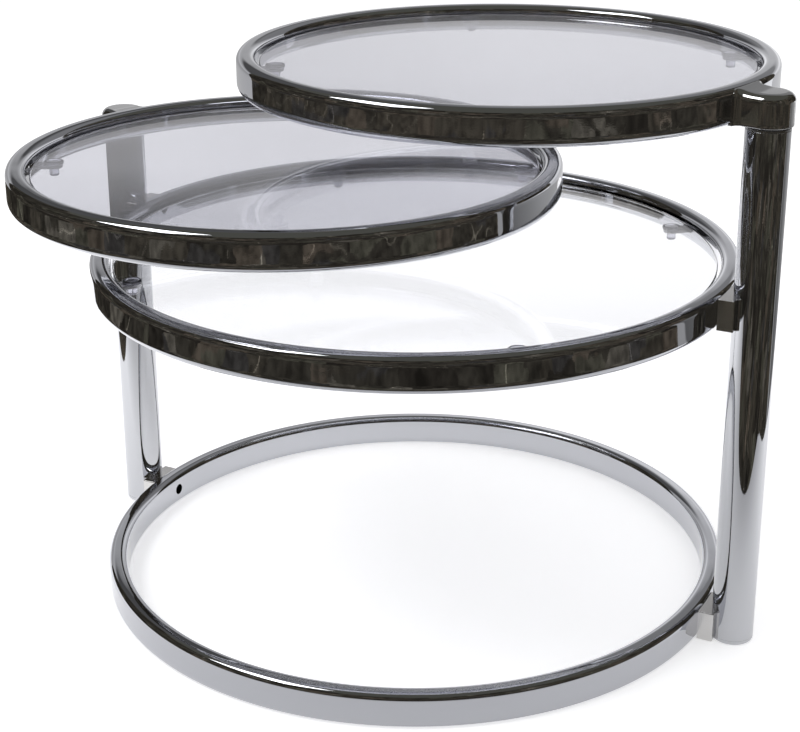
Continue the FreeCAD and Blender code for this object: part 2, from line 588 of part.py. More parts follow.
def support_tabs(label, radius):
    """Four tongues on a ring's inner wall, each with a hole for a bumper's stem."""
    tabs = body(label)
    inner = f"({radius} - Sizes.tube_depth)"
    hole_x = f"({inner} - Sizes.tab_inset)"
    round_end = solid(tabs, "AdditiveCylinder", "round_end", Radius="Sizes.tab_radius",
                      Height="Sizes.tab_thickness")
    place(round_end, x=hole_x)
    tongue = solid(tabs, "AdditiveBox", "tongue", Length="Sizes.tab_inset + Sizes.overrun",
                   Width="2 * Sizes.tab_radius", Height="Sizes.tab_thickness")
    place(tongue, x=hole_x, y="-Sizes.tab_radius")
    hole = solid(tabs, "SubtractiveCylinder", "stem_hole", Radius="Sizes.stem_radius",
                 Height="Sizes.tab_thickness + 2 * Sizes.overrun")
    place(hole, x=hole_x, z="-Sizes.overrun")
    section = sketch_on(tabs, "XZ_Plane", "wall_section")
    wall_outline(section, inner)
    cope = tabs.newObject("PartDesign::Groove", f"{label}_cope")
    cope.Profile = section
    cope.ReferenceAxis = (section, ["V_Axis"])
    cope.Angle = 360
    repeat(tabs, 4)
    return tabs


def wall_outline(sketch, inner):
    """A plain rectangle outside a ring's inner wall, which trims the tabs to the wall."""
    x, low = number(inner), -number("Sizes.overrun")
    wide, tall = number("Sizes.tube_depth"), number("Sizes.tube_height")
    corners = [(x, low), (x + wide, low), (x + wide, low + tall), (x, low + tall)]
    sketch.addGeometry([line(corners[i], corners[(i + 1) % 4]) for i in range(4)], False)
    for side in range(4):
        sketch.addConstraint(Sketcher.Constraint("Coincident", side, 2, (side + 1) % 4, 1))
        sketch.addConstraint(Sketcher.Constraint("Vertical" if side % 2 else "Horizontal", side))
    dimension(sketch, "DistanceX", -1, 1, 0, 1, to=inner, name="FromAxis")
    dimension(sketch, "DistanceY", 0, 1, -1, 1, to="Sizes.overrun", name="BelowTab")
    dimension(sketch, "DistanceX", 0, 1, 0, 2, to="Sizes.tube_depth", name="Depth")
    dimension(sketch, "DistanceY", 1, 1, 1, 2, to="Sizes.tube_height", name="Height")


def bumpers(label, radius):
    """Four clear bumpers under the glass: a round head on each tab and a stem through it."""
    soft = body(label)
    x = f"({radius} - Sizes.tube_depth - Sizes.tab_inset)"
    below = "(Sizes.tab_thickness + Sizes.stem_length)"
    head = solid(soft, "AdditiveCylinder", "head", Radius="Sizes.bumper_radius", Height="Sizes.bumper_head")
    place(head, x=x, z=below)
    dress(soft, "Fillet", "head_edge", "Sizes.bumper_round",
          rims_at(head, below) + rims_at(head, f"{below} + Sizes.bumper_head"))
    neck = solid(soft, "AdditiveCylinder", "neck", Radius="Sizes.stem_radius", Height="Sizes.tab_thickness")
    place(neck, x=x, z="Sizes.stem_length")
    bead = solid(soft, "AdditiveCylinder", "bead", Radius="Sizes.stem_bead", Height="Sizes.stem_length")
    place(bead, x=x)
    dress(soft, "Fillet", "stem_end", "Sizes.stem_round", rims_at(bead, "0"))
    repeat(soft, 4)
    return soft


# The base ring, the shelf ring and what joins them to the posts
pieces = [fixed_ring("base_ring", "0"), fixed_ring("shelf_ring", SHELF_LEVEL)]
for side, name, tray_level in ((-1, "left", LEFT_LEVEL), (1, "right", RIGHT_LEVEL)):
    pieces.append(post(f"{name}_post", side, f"({tray_level} + {POST_TOP_BELOW_TRAY})"))
    pieces.append(foot_plug(f"{name}_foot_plug", side))
    pieces.append(shelf_nut(f"{name}_shelf_nut", side))
    pieces.append(block(f"{name}_base_block", side, "0"))
    pieces.append(block(f"{name}_shelf_block", side, SHELF_LEVEL))
    pieces.extend(pivot(name, side, tray_level))
pieces.append(block_screws("base_block_screws", "0"))
pieces.append(block_screws("shelf_block_screws", SHELF_LEVEL))

# The fixed shelf's glass and supports
shelf_glass = glass("shelf_glass", "Sizes.ring_radius")
place(shelf_glass, z=f"{SHELF_LEVEL} + {GLASS_SEAT}")
shelf_tabs = support_tabs("shelf_tabs", "Sizes.ring_radius")
place(shelf_tabs, z=f"{SHELF_LEVEL} + {TAB_TOP} - Sizes.tab_thickness", turn=FIRST_SUPPORT)
shelf_bumpers = bumpers("shelf_bumpers", "Sizes.ring_radius")
place(shelf_bumpers, z=f"{SHELF_LEVEL} + {STEM_END}", turn=FIRST_SUPPORT)
pieces += [shelf_glass, shelf_tabs, shelf_bumpers]

# The two swivel trays
for side, name, tray_level in ((-1, "left", LEFT_LEVEL), (1, "right", RIGHT_LEVEL)):
    ring = tray_ring(f"{name}_tray_ring")
    tray_place(ring, side, tray_level)
    disc = glass(f"{name}_tray_glass", "Sizes.tray_radius")
    tray_place(disc, side, f"{tray_level} + {GLASS_SEAT}")
    tabs = support_tabs(f"{name}_tray_tabs", "Sizes.tray_radius")
    tray_place(tabs, side, f"{tray_level} + {TAB_TOP} - Sizes.tab_thickness", FIRST_SUPPORT)
    soft = bumpers(f"{name}_tray_bumpers", "Sizes.tray_radius")
    tray_place(soft, side, f"{tray_level} + {STEM_END}", FIRST_SUPPORT)
    pieces += [ring, hub(f"{name}_hub", side, tray_level), disc, tabs, soft]

doc.recompute()
faults = [item.Name for item in doc.Objects if {"Invalid", "Error"} & set(item.State)]
faults += [item.Label for item in pieces if item.Shape.isNull() or not item.Shape.isValid()]
if faults:
    raise RuntimeError(f"these did not build: {faults}")

os.makedirs("parts", exist_ok=True)
for item in pieces:
    item.Shape.exportStep(f"parts/{item.Label}.step")
print(f"{len(pieces)} nodes, {sum(len(item.Shape.Solids) for item in pieces)} solids")
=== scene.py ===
import json
import math

import bmesh
import bpy
from mathutils import Matrix, Vector


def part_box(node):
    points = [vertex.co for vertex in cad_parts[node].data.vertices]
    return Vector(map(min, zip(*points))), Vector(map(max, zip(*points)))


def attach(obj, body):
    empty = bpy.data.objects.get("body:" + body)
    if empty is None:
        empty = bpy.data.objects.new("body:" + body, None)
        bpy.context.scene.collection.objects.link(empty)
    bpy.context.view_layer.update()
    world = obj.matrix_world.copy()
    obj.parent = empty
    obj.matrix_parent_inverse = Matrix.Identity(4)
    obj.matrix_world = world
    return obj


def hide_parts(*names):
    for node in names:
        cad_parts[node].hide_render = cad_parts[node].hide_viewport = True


# The swivel table's looks, in metres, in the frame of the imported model:
# origin on the floor at the centre of the base ring, posts on the X axis, the viewer at -Y.

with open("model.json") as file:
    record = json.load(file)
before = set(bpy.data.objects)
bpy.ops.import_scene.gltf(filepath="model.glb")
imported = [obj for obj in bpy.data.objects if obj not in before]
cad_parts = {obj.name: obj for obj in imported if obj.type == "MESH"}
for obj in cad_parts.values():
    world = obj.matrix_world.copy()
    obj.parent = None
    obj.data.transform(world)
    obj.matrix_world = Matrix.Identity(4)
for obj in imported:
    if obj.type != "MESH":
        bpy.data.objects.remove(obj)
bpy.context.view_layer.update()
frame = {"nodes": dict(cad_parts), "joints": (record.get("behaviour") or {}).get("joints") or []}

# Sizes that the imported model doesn't state, in metres
TUBE_DEPTH = 0.0145
TUBE_CORNER = 0.0054
TUBE_WALL = 0.0015
ACCESS_RADIUS = 0.0046
POST_RADIUS = 0.016
POST_BORE = POST_RADIUS - 0.002
POST_RIM_ROUND = 0.0003
POST_BORE_ROUND = 0.0002
SEAM_ROUND = 0.00008
SOLE_ROUND = 0.0026
SPIGOT_ROUND = 0.001
HUB_RADIUS = 0.0174
HUB_FLARE = 0.005
HUB_EDGE = 0.006
HUB_UNDER_EDGE = 0.0005
HUB_LIFT = 0.0005
HUB_DROP = 0.003
HUB_SWEEP = 0.060
TAB_INSET = 0.0145
TAB_RADIUS = 0.0065
TAB_ROUND = 0.0004
TAB_WELD_RADIUS = 0.0011
STEM_RADIUS = 0.003
STEM_BEAD = 0.0036
BEAD_LOW_ROUND = 0.001
BEAD_TOP_ROUND = 0.0002
BUMPER_RADIUS = 0.0075
BUMPER_ROUND = 0.0008
DISH_DEPTH = 0.0007
DISH_ROUND = 0.0003
GLASS_ROUND = 0.0009
SUPPORT_ANGLES = [math.radians(45 + 90 * turn) for turn in range(4)]

# The butt weld of a ring, ground flush
WELD_HEIGHT = 0.00012
WELD_WIDTH = 0.0007
WELD_STEP = 0.0004

# How finely round pieces are divided
FIXED_RING_SEGMENTS = 420
TRAY_RING_SEGMENTS = 360
GLASS_SEGMENTS = 360
POST_SEGMENTS = 160
BUMPER_SEGMENTS = 40
HOLE_COLUMNS = 28
HOLED_WALL_STEPS, PLAIN_WALL_STEPS = 30, 8
CORNER_STEPS, FLAT_STEPS = 10, 3

# The camera that took the photograph
VIEW_AZIMUTH = math.radians(26.868)
VIEW_ELEVATION = math.radians(20.057)
VIEW_DISTANCE = 1.34884
VIEW_TARGET = Vector((0, 0, 0.212756))
PHOTO_WIDTH, PHOTO_HEIGHT = 800, 732
FOCAL_PIXELS = 1703.75
AXIS_PIXEL_X, AXIS_PIXEL_Y = 414.995, 319.853
SENSOR_WIDTH_MM = 36


# Materials

def new_material(name):
    """A node material with its principled shader, returned as (material, node tree, shader)."""
    material = bpy.data.materials.new(name)
    material.use_nodes = True
    tree = material.node_tree
    return material, tree, tree.nodes["Principled BSDF"]


def node(tree, kind, inputs=None, **settings):
    """A shader node with its settings, and its inputs set to values or linked to other nodes' outputs."""
    item = tree.nodes.new(f"ShaderNode{kind}")
    for name, value in settings.items():
        setattr(item, name, value)
    for name, value in (inputs or {}).items():
        if isinstance(value, bpy.types.NodeSocket):
            tree.links.new(value, item.inputs[name])
        else:
            item.inputs[name].default_value = value
    return item


def noise_value(tree, scale, detail=2.0, low=0.0, high=1.0, roughness=0.5, stretch=None):
    """Noise on the piece's own coordinates, in metres, spread from low to high."""
    place = node(tree, "TexCoord").outputs["Object"]
    if stretch:
        place = node(tree, "Mapping", {"Vector": place, "Scale": stretch}).outputs["Vector"]
    texture = node(tree, "TexNoise", {"Vector": place, "Scale": scale, "Detail": detail,
                                      "Roughness": roughness})
    spread = node(tree, "MapRange", {"Value": texture.outputs["Fac"], "From Min": 0.3, "From Max": 0.7,
                                     "To Min": low, "To Max": high})
    return spread.outputs["Result"]


def bumped(tree, shader, layers):
    """Stacks bumps of (height socket, distance in metres) and joins them to a shader."""
    normal = None
    for height, distance in layers:
        bump = node(tree, "Bump", {"Height": height, "Distance": distance, "Strength": 1.0})
        if normal:
            tree.links.new(normal, bump.inputs["Normal"])
        normal = bump.outputs["Normal"]
    tree.links.new(normal, shader.inputs["Normal"])


def tint(tree, shader, share, dark, colour):
    """Colours a shader between a darker share of a colour and the colour itself."""
    tinted = node(tree, "Mix", {"Factor": share, "A": [value * dark for value in colour] + [1],
                                "B": [*colour, 1]}, data_type="RGBA")
    tree.links.new(tinted.outputs["Result"], shader.inputs["Base Color"])


def chrome_material(name, colour, rough_low, rough_high, wave, grain, metallic=1.0):
    """Polished chrome: slow waves of the tube under it, fine polishing haze and a few finger marks."""
    material, tree, shader = new_material(name)
    tint(tree, shader, noise_value(tree, 9.0, 3.0, 0.94, 1.0), 0.86, colour)
    shader.inputs["Metallic"].default_value = metallic
    haze = noise_value(tree, 14.0, 6.0, rough_low, rough_high, roughness=0.65)
    tree.links.new(haze, shader.inputs["Roughness"])
    waves = noise_value(tree, 22.0, 1.0)
    fine = noise_value(tree, 900.0, 2.0)
    bumped(tree, shader, [(waves, wave), (fine, grain)])
    return material


def steel_material(name, colour, roughness, turned_scale):
    """Plain or zinc-plated steel with fine turning marks."""
    material, tree, shader = new_material(name)
    tint(tree, shader, noise_value(tree, 60.0, 5.0), 0.75, colour)
    shader.inputs["Metallic"].default_value = 1.0
    polish = noise_value(tree, 200.0, 4.0, roughness * 0.8, roughness * 1.3)
    tree.links.new(polish, shader.inputs["Roughness"])
    marks = noise_value(tree, turned_scale, 2.0, stretch=(0.2, 0.2, 8.0))
    bumped(tree, shader, [(marks, 0.00003)])
    return material


def glass_material(name, colour, clarity):
    """Clear float glass with a veil of dust, as much as clarity leaves, and dried specks on it."""
    material, tree, shader = new_material(name)
    shader.inputs["Base Color"].default_value = [*colour, 1]
    shader.inputs["Roughness"].default_value = 0.0
    shader.inputs["IOR"].default_value = 1.5
    place = node(tree, "TexCoord").outputs["Object"]
    specks = node(tree, "TexVoronoi", {"Vector": place, "Scale": 75.0, "Randomness": 1.0})
    thin = noise_value(tree, 31.0, 2.0, -0.045, 0.036)
    inside = node(tree, "Math", {0: thin, 1: specks.outputs["Distance"]}, operation="SUBTRACT")
    clear = node(tree, "MapRange", {"Value": inside.outputs["Value"], "From Min": 0.0, "From Max": 0.02,
                                    "To Min": clarity, "To Max": 0.35})
    tree.links.new(clear.outputs["Result"], shader.inputs["Transmission Weight"])
    return material


def clear_plastic_material():
    """Soft clear plastic, a little cloudy."""
    material, tree, shader = new_material("clear_soft_plastic")
    cloud = noise_value(tree, 160.0, 3.0)
    tinted = node(tree, "Mix", {"Factor": cloud, "A": [0.62, 0.62, 0.72, 1], "B": [0.8, 0.8, 0.88, 1]},
                  data_type="RGBA")
    tree.links.new(tinted.outputs["Result"], shader.inputs["Base Color"])
    shader.inputs["IOR"].default_value = 1.45
    shader.inputs["Transmission Weight"].default_value = 0.85
    tree.links.new(noise_value(tree, 420.0, 2.0, 0.10, 0.22), shader.inputs["Roughness"])
    return material


def nylon_material(name, colour):
    """Nylon, faintly grained, of a colour that clouds a little."""
    material, tree, shader = new_material(name)
    tint(tree, shader, noise_value(tree, 90.0, 4.0), 0.88, colour)
    tree.links.new(noise_value(tree, 500.0, 3.0, 0.38, 0.52), shader.inputs["Roughness"])
    bumped(tree, shader, [(noise_value(tree, 1500.0, 2.0), 0.00002)])
    return material


TUBE_CHROME = chrome_material("chromed_tube", (0.555, 0.563, 0.595), 0.012, 0.04, 0.00010, 0.000001)
POST_CHROME = chrome_material("chromed_post", (0.56, 0.567, 0.59), 0.012, 0.045, 0.00008, 0.000001)
CAST_CHROME = chrome_material("chromed_casting", (0.55, 0.55, 0.555), 0.03, 0.09, 0.00012, 0.000004)
BLOCK_CHROME = chrome_material("satin_chromed_block", (0.68, 0.67, 0.66), 0.10, 0.2, 0.00006, 0.000006)
TAB_NICKEL = chrome_material("tumbled_nickel_tab", (0.62, 0.62, 0.65), 0.15, 0.3, 0.00006, 0.000006, 0.6)
SCREW_STEEL = steel_material("zinc_plated_steel", (0.42, 0.42, 0.43), 0.3, 700.0)
PLAIN_STEEL = steel_material("turned_steel", (0.5, 0.5, 0.51), 0.25, 500.0)
TRAY_GLASS = glass_material("tray_glass", (0.785, 0.787, 0.845), 0.90)
SHELF_GLASS = glass_material("shelf_glass_clear", (0.978, 0.983, 1.0), 1.0)
CLEAR_PLASTIC = clear_plastic_material()
NYLON = nylon_material("natural_nylon", (0.78, 0.77, 0.73))
# The washer's near-black colour is painted shade: it stands in for the shadow in the thin gap at the hub's
# foot.
WASHER_NYLON_PAINTED_SHADE = nylon_material("nylon_painted_gap_shade", (0.075, 0.075, 0.08))


# Mesh helpers

# How far a guard point stands off a round, as a share of its radius
GUARD = 0.12
# Vertices nearer than this are one, in metres
WELD_DISTANCE = 1e-7


def add_piece(name, verts, faces, material, body, stands_for=(), place=None, sharp=40):
    """Makes a piece from vertices and faces, smooth but for edges sharper than an angle, and lets it ride."""
    mesh = bpy.data.meshes.new(name)
    mesh.from_pydata([tuple(vert) for vert in verts], [], faces)
    if place:
        mesh.transform(place)
    mesh.validate()
    work = bmesh.new()
    work.from_mesh(mesh)
    bmesh.ops.remove_doubles(work, verts=work.verts, dist=WELD_DISTANCE)
    bmesh.ops.recalc_face_normals(work, faces=work.faces)
    work.to_mesh(mesh)
    work.free()
    mesh.shade_smooth()
    mesh.set_sharp_from_angle(angle=math.radians(sharp))
    mesh.materials.append(material)
    piece = bpy.data.objects.new(name, mesh)
    bpy.context.scene.collection.objects.link(piece)
    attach(piece, body)
    if stands_for:
        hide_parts(*stands_for)


def rounded(points, steps):
    """Rounds the corners of a closed outline. Each point is (x, y, radius). A guard point a hair before and
    after each round keeps the flats' shading flat."""
    outline = []
    count = len(points)
    for index, (x, y, radius) in enumerate(points):
        corner = Vector((x, y))
        if not radius:
            outline.append(tuple(corner))
            continue
        before = (Vector(points[index - 1][:2]) - corner).normalized()
        after = (Vector(points[(index + 1) % count][:2]) - corner).normalized()
        half = before.angle(after) / 2
        reach = radius / math.tan(half)
        middle = corner + (before + after).normalized() * radius / math.sin(half)
        start = corner + before * reach - middle
        end = corner + after * reach - middle
        turn = start.angle_signed(end)
        outline.append(tuple(corner + before * (reach + GUARD * radius)))
        for step in range(steps + 1):
            spoke = start.copy()
            spoke.rotate(Matrix.Rotation(-turn * step / steps, 2))
            outline.append(tuple(middle + spoke))
        outline.append(tuple(corner + after * (reach + GUARD * radius)))
    return outline


def lathe(profile, segments, place):
    """Turns a closed outline of (radius, height) about the Z axis. Points on the axis become one vertex."""
    verts, rows = [], []
    for radius, height in profile:
        if radius < WELD_DISTANCE:
            rows.append([len(verts)] * segments)
            verts.append(Vector((0, 0, height)))
            continue
        rows.append(range(len(verts), len(verts) + segments))
        for turn in range(segments):
            angle = math.tau * turn / segments
            verts.append(Vector((radius * math.cos(angle), radius * math.sin(angle), height)))
    faces = []
    for index, row in enumerate(rows):
        below = rows[index - 1]
        for turn in range(segments):
            following = (turn + 1) % segments
            corners = [below[turn], below[following], row[following], row[turn]]
            corners = list(dict.fromkeys(corners))
            if len(corners) > 2:
                faces.append(corners)
    return [place @ vert for vert in verts], faces


def joined(*parts):
    """Joins several (vertices, faces) into one."""
    verts, faces = [], []
    for part_verts, part_faces in parts:
        start = len(verts)
        verts.extend(part_verts)
        faces.extend([[start + corner for corner in face] for face in part_faces])
    return verts, faces


def prism(outline, low, high, edge, steps):
    """A plate of a closed outline from low to high, with its lower and upper edges rounded."""
    count = len(outline)
    points = [Vector(point) for point in outline]
    area = sum(points[i - 1].x * points[i].y - points[i].x * points[i - 1].y for i in range(count))
    if area < 0:
        points.reverse()
    inward = []
    for index, point in enumerate(points):
        before = (point - points[index - 1]).normalized()
        after = (points[(index + 1) % count] - point).normalized()
        before_in, after_in = Vector((-before.y, before.x)), Vector((-after.y, after.x))
        mitre = (before_in + after_in).normalized()
        inward.append(mitre / max(0.3, mitre.dot(before_in)))
    rows = [(edge * (1 + GUARD), low)]
    for step in range(steps + 1):
        angle = math.pi / 2 * step / steps
        rows.append((edge * (1 - math.sin(angle)), low + edge * (1 - math.cos(angle))))
    rows.append((0, low + edge * (1 + GUARD)))
    rows.append((0, high - edge * (1 + GUARD)))
    for step in range(steps + 1):
        angle = math.pi / 2 * step / steps
        rows.append((edge * (1 - math.cos(angle)), high - edge * (1 - math.sin(angle))))
    rows.append((edge * (1 + GUARD), high))
    verts = [Vector((*(point + side * inset), height))
             for inset, height in rows for point, side in zip(points, inward)]
    faces = []
    for row in range(len(rows) - 1):
        for index in range(count):
            following = (index + 1) % count
            faces.append([row * count + index, row * count + following,
                          (row + 1) * count + following, (row + 1) * count + index])
    faces.append(list(range(count))[::-1])
    faces.append([(len(rows) - 1) * count + index for index in range(count)])
    return verts, faces


# Ring tubes

# The outward x of a station is less than this only on the flat inner wall
INNER_WALL = -0.99


def tube_stations(height, wall_steps):
    """Stations round the tube's section, as (offset, height, outward x, outward z)."""
    straight = height - 2 * TUBE_CORNER
    flat = TUBE_DEPTH - 2 * TUBE_CORNER
    near, far = TUBE_CORNER, TUBE_DEPTH - TUBE_CORNER
    low, high = TUBE_CORNER, height - TUBE_CORNER
    runs = (
        ((0, low), (0, 1), straight, wall_steps, (-1, 0)),
        ((near, high), math.pi),
        ((near, height), (1, 0), flat, FLAT_STEPS, (0, 1)),
        ((far, high), math.pi / 2),
        ((TUBE_DEPTH, high), (0, -1), straight, PLAIN_WALL_STEPS, (1, 0)),
        ((far, low), 0),
        ((far, 0), (-1, 0), flat, FLAT_STEPS, (0, -1)),
        ((near, low), -math.pi / 2),
    )
    stations = []
    for run in runs:
        if len(run) == 5:
            (x, z), (step_x, step_z), length, steps, (out_x, out_z) = run
            for step in range(steps):
                share = length * step / steps
                stations.append((x + step_x * share, z + step_z * share, out_x, out_z))
        else:
            (x, z), start = run
            for step in range(CORNER_STEPS):
                angle = start - math.pi / 2 * step / CORNER_STEPS
                out_x, out_z = math.cos(angle), math.sin(angle)
                stations.append((x + TUBE_CORNER * out_x, z + TUBE_CORNER * out_z, out_x, out_z))
    return stations


def ring_tube(radius, height, holes, seam, segments):
    """A hollow ring of flat-oval tube about the Z axis, its underside at zero. A hole is (angle, station
    height on the inner wall, radius). A seam is the angle of the butt weld, ground flush and just seen."""
    inner = radius - TUBE_DEPTH
    stations = tube_stations(height, HOLED_WALL_STEPS if holes else PLAIN_WALL_STEPS)
    angles = {round(math.tau * turn / segments, 6) for turn in range(segments)}
    for hole_angle, _, hole_radius in holes:
        reach = 1.6 * hole_radius / inner
        angles = {angle for angle in angles if abs(math.remainder(angle - hole_angle, math.tau)) > reach}
        for step in range(HOLE_COLUMNS + 1):
            angles.add(round((hole_angle + reach * (2 * step / HOLE_COLUMNS - 1)) % math.tau, 6))
    for step in range(-6, 7):
        angles.add(round((seam + step * WELD_STEP / inner) % math.tau, 6))
    angles = sorted(angles)
    columns, rows = len(angles), len(stations)

    def bead(angle):
        """Height of the weld's flush bead at an angle."""
        across = math.remainder(angle - seam, math.tau) * inner
        return WELD_HEIGHT * math.exp(-(across / WELD_WIDTH) ** 2)

    def point(angle, station, depth, wall_height=None):
        """A point of the tube's surface, or of its inside where there is a depth."""
        offset, z, out_x, out_z = station
        lift = bead(angle) if out_x < INNER_WALL and not depth else 0.0
        away = inner + offset + (lift - depth) * out_x
        level = (wall_height if wall_height is not None else z) + (lift - depth) * out_z
        return Vector((away * math.cos(angle), away * math.sin(angle), level))

    gone = set()
    for hole_angle, hole_height, hole_radius in holes:
        for column in range(columns):
            following = (column + 1) % columns
            for row in range(rows):
                upper = (row + 1) % rows
                if stations[row][2] > INNER_WALL or stations[upper][2] > INNER_WALL:
                    continue
                middle = (angles[column] + angles[following]) / 2
                middle_x = math.remainder(middle - hole_angle, math.tau) * inner
                middle_z = (stations[row][1] + stations[upper][1]) / 2 - hole_height
                if math.hypot(middle_x, middle_z) < hole_radius:
                    gone.add((column, row))
    rim = set()
    for column, row in gone:
        for next_column, next_row in (
                (column - 1, row), (column + 1, row), (column, row - 1), (column, row + 1)):
            if (next_column % columns, next_row % rows) not in gone:
                if next_column == column:
                    edge_row = row if next_row < row else row + 1
                    rim.update({(column, edge_row), ((column + 1) % columns, edge_row)})
                else:
                    edge_column = column if next_column < column else (column + 1) % columns
                    rim.update({(edge_column, row), (edge_column, row + 1)})
    moved = {}
    for column, row in rim:
        hole_angle, hole_height, hole_radius = min(
            holes, key=lambda hole: abs(math.remainder(angles[column] - hole[0], math.tau)))
        x = math.remainder(angles[column] - hole_angle, math.tau) * inner
        z = stations[row][1] - hole_height
        size = hole_radius / math.hypot(x, z)
        moved[column, row] = (hole_angle + x * size / inner, hole_height + z * size)

    verts = []
    for depth in (0.0, TUBE_WALL):
        for column in range(columns):
            for row in range(rows):
                if (column, row) in moved:
                    angle, level = moved[column, row]
                    verts.append(point(angle, stations[row], depth, level))
                else:
                    verts.append(point(angles[column], stations[row], depth))
    layer = columns * rows

    def corner(column, row, depth=0):
        """The number of a vertex, outside or, at a depth of one, inside the tube."""
        return depth * layer + (column % columns) * rows + row % rows

    faces = []
    for column in range(columns):
        for row in range(rows):
            if (column, row) in gone:
                for (away_column, away_row), ends in (
                    ((column - 1, row), ((column, row + 1), (column, row))),
                    ((column + 1, row), ((column + 1, row), (column + 1, row + 1))),
                    ((column, row - 1), ((column, row), (column + 1, row))),
                    ((column, row + 1), ((column + 1, row + 1), (column, row + 1))),
                ):
                    if (away_column % columns, away_row % rows) not in gone:
                        (first_column, first_row), (last_column, last_row) = ends
                        faces.append([corner(first_column, first_row), corner(last_column, last_row),
                                      corner(last_column, last_row, 1), corner(first_column, first_row, 1)])
                continue
            ends = ((column, row), (column + 1, row), (column + 1, row + 1), (column, row + 1))
            faces.append([corner(*end) for end in ends])
            faces.append([corner(*end, 1) for end in reversed(ends)])
    return verts, faces


# What carries the pieces

def joint_place(name):
    """The axis of a joint, as a point in the frame."""
    return next(Vector(joint["pos_m"]) for joint in frame["joints"] if joint["name"] == name)


def middle_of(name):
    """The middle of a node's box."""
    low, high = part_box(name)
    return (low + high) / 2


def tray_place(side):
    """The matrix of a tray's own frame: its centre on the ring's underside, its hub towards -X."""
    low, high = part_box(f"{side}_tray_ring")
    centre = Vector(((low.x + high.x) / 2, (low.y + high.y) / 2, low.z))
    arm = centre - joint_place(f"{side}_swivel")
    heading = math.atan2(arm.y, arm.x)
    return Matrix.Translation(centre) @ Matrix.Rotation(heading, 4, "Z")


def post_axis(side):
    """The matrix of a post's own frame, at the floor."""
    axis = joint_place(f"{side}_swivel")
    return Matrix.Translation((axis.x, axis.y, 0))


def level_place(node_name):
    """The matrix of a fixed ring's own frame: the table's axis, at the ring's underside."""
    return Matrix.Translation((0, 0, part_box(node_name)[0].z))


RING_LOW, RING_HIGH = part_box("base_ring")
RING_RADIUS = RING_HIGH.x
TUBE_HEIGHT = RING_HIGH.z - RING_LOW.z
TRAY_RADIUS = (joint_place("right_swivel") - middle_of("right_tray_ring")).to_2d().length - POST_RADIUS
REACH = TRAY_RADIUS + POST_RADIUS
GLASS_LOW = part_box("shelf_glass")[0].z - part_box("shelf_ring")[0].z
GLASS_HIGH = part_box("shelf_glass")[1].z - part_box("shelf_ring")[0].z
TAB_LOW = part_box("shelf_tabs")[0].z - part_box("shelf_ring")[0].z
TAB_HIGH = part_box("shelf_tabs")[1].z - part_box("shelf_ring")[0].z
STEM_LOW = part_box("shelf_bumpers")[0].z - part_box("shelf_ring")[0].z
SHELF_GLASS_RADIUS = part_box("shelf_glass")[1].x
TRAY_GLASS_RADIUS = (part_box("left_tray_glass")[1].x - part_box("left_tray_glass")[0].x) / 2


# The table's pieces

def build_ring(name, radius, place, body, holes, seam, segments):
    """A polished ring tube in place."""
    verts, faces = ring_tube(radius, TUBE_HEIGHT, holes, seam, segments)
    add_piece(f"{name}_polished", verts, faces, TUBE_CHROME, body, [name], place)


def build_glass(name, radius, place, body, material):
    """A disc whose edge is ground flat, with small round arrises."""
    outline = rounded([
        (0, GLASS_LOW, 0), (radius, GLASS_LOW, GLASS_ROUND), (radius, GLASS_HIGH, GLASS_ROUND),
        (0, GLASS_HIGH, 0),
    ], 4)
    verts, faces = lathe(outline, GLASS_SEGMENTS, Matrix.Identity(4))
    add_piece(f"{name}_polished", verts, faces, material, body, [name], place, sharp=50)


def capsule(start, end, radius, around=12, along=4):
    """A round-ended bar between two points, such as a weld bead."""
    axis = (end - start).normalized()
    side = axis.orthogonal().normalized()
    other = axis.cross(side)
    rings = []
    for step in range(1, along + 1):
        angle = math.pi / 2 * step / along
        rings.append((start - axis * radius * math.cos(angle), radius * math.sin(angle)))
    for step in range(along, 0, -1):
        angle = math.pi / 2 * step / along
        rings.append((end + axis * radius * math.cos(angle), radius * math.sin(angle)))
    verts = [start - axis * radius]
    for middle, size in rings:
        for turn in range(around):
            angle = math.tau * turn / around
            verts.append(middle + (side * math.cos(angle) + other * math.sin(angle)) * size)
    verts.append(end + axis * radius)
    faces = []
    for turn in range(around):
        following = (turn + 1) % around
        faces.append([0, 1 + following, 1 + turn])
        last = 1 + (len(rings) - 1) * around
        faces.append([last + turn, last + following, len(verts) - 1])
        for row in range(len(rings) - 1):
            low = 1 + row * around
            faces.append([low + turn, low + following, low + around + following, low + around + turn])
    return verts, faces


def build_tabs(name, radius, place, body):
    """Four tongues with round ends, each welded to the ring's inner wall."""
    inner = radius - TUBE_DEPTH
    hole_x = inner - TAB_INSET
    parts = []
    for angle in SUPPORT_ANGLES:
        turn = Matrix.Rotation(angle, 4, "Z")
        arc = []
        for step in range(19):
            bend = math.pi / 2 + math.pi * step / 18
            arc.append((hole_x + TAB_RADIUS * math.cos(bend), TAB_RADIUS * math.sin(bend)))
        wall = math.sqrt(inner ** 2 - TAB_RADIUS ** 2)
        root = wall + TUBE_WALL / 2
        outline = [(root, -TAB_RADIUS), (root, TAB_RADIUS)] + arc
        verts, faces = prism(outline, TAB_LOW, TAB_HIGH, TAB_ROUND, 3)
        parts.append(([turn @ vert for vert in verts], faces))
        for height in (TAB_LOW, TAB_HIGH):
            start, end = (Vector((wall, side * TAB_RADIUS * 0.8, height)) for side in (-1, 1))
            verts, faces = capsule(start, end, TAB_WELD_RADIUS)
            parts.append(([turn @ vert for vert in verts], faces))
    verts, faces = joined(*parts)
    add_piece(f"{name}_welded", verts, faces, TAB_NICKEL, body, [name], place)


